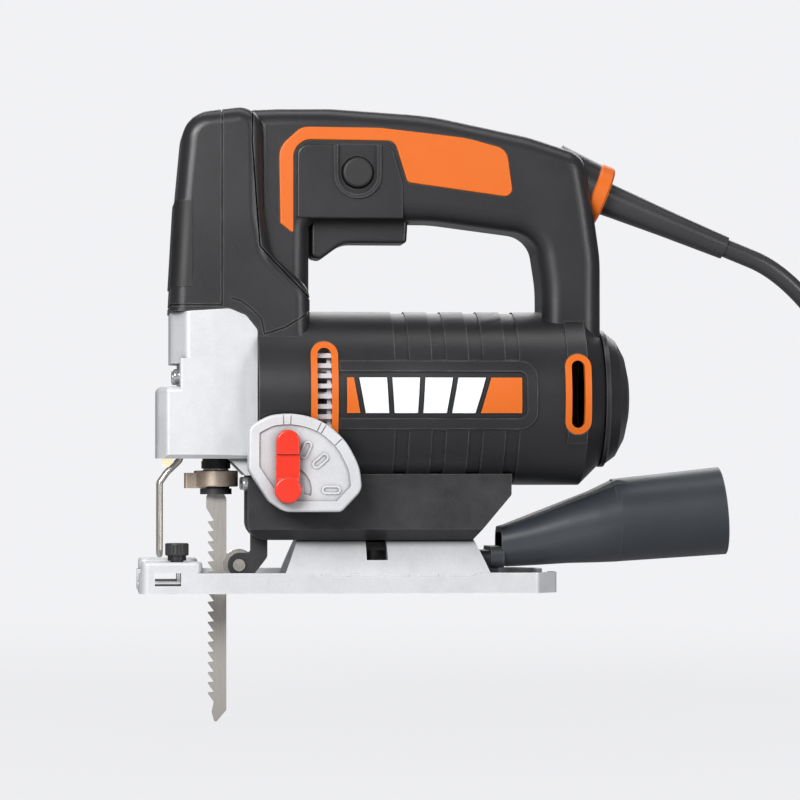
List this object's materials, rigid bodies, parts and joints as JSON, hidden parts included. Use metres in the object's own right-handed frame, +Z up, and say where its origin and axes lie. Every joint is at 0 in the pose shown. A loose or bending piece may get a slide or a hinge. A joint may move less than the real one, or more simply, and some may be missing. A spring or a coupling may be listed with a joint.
{
  "type": "jigsaw",
  "caption": "Corded orbital jigsaw with a closed D handle, bevelling base plate, tool-free blade clamp, guide roller, orbit lever and dust duct",
  "frame": {"origin": "where the blade's centreline crosses the underside of the base plate", "axes": "+Z up, away from the work; +X to the rear, along the motor; +Y to the tool's right, away from the orbit lever"},
  "size_m": [0.4305, 0.1126, 0.2434],
  "materials": {
    "charcoal_shell": "fine moulded grain",
    "soft_black": "soft overmould",
    "orange_trim": "fine satin grain",
    "white_print": "satin",
    "light_plastic": "satin",
    "cast_alloy": "sand-cast, bead blasted",
    "black_cast": "textured black paint",
    "red_lever": "smooth",
    "chrome_steel": "bright plated",
    "steel": "ground",
    "blade_steel": "dark rolled",
    "bronze_steel": "bronze-brown oxide",
    "bush_bronze": "sintered",
    "laminations": "laminated sheet",
    "copper": "enamelled copper",
    "cord_rubber": "smooth rubber jacket",
    "duct_plastic": "satin moulded",
    "lens_clear": "clear",
    "inner_plastic": "plain"
  },
  "bodies": {
    "housing": {"housing_left": "charcoal_shell", "housing_right": "charcoal_shell", "nose_cover": "charcoal_shell", "nose_pad": "soft_black", "handle_inlays": "orange_trim", "vent_frames": "orange_trim", "vent_louvres": "light_plastic", "badge_bars": "white_print", "badge_ends": "orange_trim", "cord_collar": "orange_trim", "cord_boot": "cord_rubber", "cord_ends": "cord_rubber", "cord_clamp": "inner_plastic", "motor_end_cap": "charcoal_shell", "switch_module": "inner_plastic", "housing_screws": "steel", "gear_case": "cast_alloy", "finger_guard": "steel", "led_lens": "lens_clear", "case_screws": "chrome_steel", "bearing_plate": "cast_alloy", "fixed_pins": "steel", "selector_plate": "cast_alloy", "foot": "black_cast", "saddle_bolt": "black_cast", "stator": "laminations", "field_coils": "copper", "brush_gear": "inner_plastic", "bearings": "steel", "cord_coil": "cord_rubber", "power_cord": "cord_rubber", "coil_tie": "soft_black", "plug_body": "cord_rubber", "plug_pins": "chrome_steel"},
    "trigger": {"trigger": "charcoal_shell"},
    "lock_button": {"lock_button": "soft_black"},
    "armature": {"armature_shaft": "steel", "armature_core": "laminations", "armature_windings": "copper", "commutator": "copper", "cooling_fan": "light_plastic"},
    "drive_gear": {"drive_gear": "steel", "crank_pin": "steel"},
    "plunger_guide": {"swing_guide": "steel", "plunger_bushes": "bush_bronze"},
    "plunger": {"plunger": "steel", "plunger_seal": "soft_black", "clamp_hub": "black_cast", "blade": "blade_steel"},
    "clamp_ring": {"clamp_ring": "bronze_steel"},
    "roller_arm": {"roller_arm": "black_cast", "roller_pin": "steel"},
    "guide_roller": {"guide_roller": "steel"},
    "orbit_lever": {"orbit_lever": "red_lever", "cam_shaft": "steel"},
    "base": {"base_plate": "cast_alloy", "bevel_saddle": "cast_alloy", "fence_liner": "soft_black"},
    "fence_screw": {"fence_screw": "black_cast"},
    "dust_duct": {"dust_duct": "duct_plastic"}
  },
  "joints": [
    {"name": "trigger_pull", "type": "slide", "parent": "housing", "child": "trigger", "axis": [0, 0, 1], "range_m": [0, 0.006], "stiffness_N_per_m": 900, "springref_m": -0.004},
    {"name": "lock_push", "type": "slide", "parent": "housing", "child": "lock_button", "axis": [0, 1, 0], "range_m": [0, 0.003], "stiffness_N_per_m": 700, "springref_m": -0.003},
    {"name": "armature_spin", "type": "hinge", "parent": "housing", "child": "armature", "pos_m": [0, 0, 0.0766], "axis": [1, 0, 0], "continuous": true},
    {"name": "gear_spin", "type": "hinge", "parent": "housing", "child": "drive_gear", "pos_m": [0, 0, 0.10022], "axis": [1, 0, 0], "continuous": true},
    {"name": "guide_swing", "type": "hinge", "parent": "housing", "child": "plunger_guide", "pos_m": [0, 0, 0.16], "axis": [0, 1, 0], "range_deg": [0, 1]},
    {"name": "plunger_stroke", "type": "slide", "parent": "plunger_guide", "child": "plunger", "axis": [0, 0, 1], "range_m": [-0.02, 0]},
    {"name": "clamp_turn", "type": "hinge", "parent": "plunger", "child": "clamp_ring", "pos_m": [0, 0, 0.0446], "axis": [0, 0, 1], "range_deg": [0, 45], "stiffness_Nm_per_rad": 0.06, "springref_deg": -17.19},
    {"name": "roller_arm_swing", "type": "hinge", "parent": "housing", "child": "roller_arm", "pos_m": [0.018, 0, 0.036], "axis": [0, 1, 0], "range_deg": [0, 6]},
    {"name": "roller_spin", "type": "hinge", "parent": "roller_arm", "child": "guide_roller", "pos_m": [0.009, 0, 0.0103], "axis": [0, 1, 0], "continuous": true},
    {"name": "orbit_select", "type": "hinge", "parent": "housing", "child": "orbit_lever", "pos_m": [0.0263, -0.042, 0.0404], "axis": [0, 1, 0], "range_deg": [0, 90]},
    {"name": "base_bevel", "type": "hinge", "parent": "housing", "child": "base", "pos_m": [0.063, 0, 0], "axis": [1, 0, 0], "range_deg": [-45, 45]},
    {"name": "fence_clamp", "type": "hinge", "parent": "base", "child": "fence_screw", "pos_m": [-0.0163, -0.031, 0.014], "axis": [0, 0, 1], "continuous": true},
    {"name": "duct_pull", "type": "slide", "parent": "base", "child": "dust_duct", "axis": [1, 0, 0], "range_m": [0, 0.03]}
  ],
  "couplings": [
    {"joint": "gear_spin", "follows": "armature_spin", "ratio": -0.16667},
    {"joint": "roller_arm_swing", "follows": "guide_swing", "ratio": 5.8249}
  ]
}
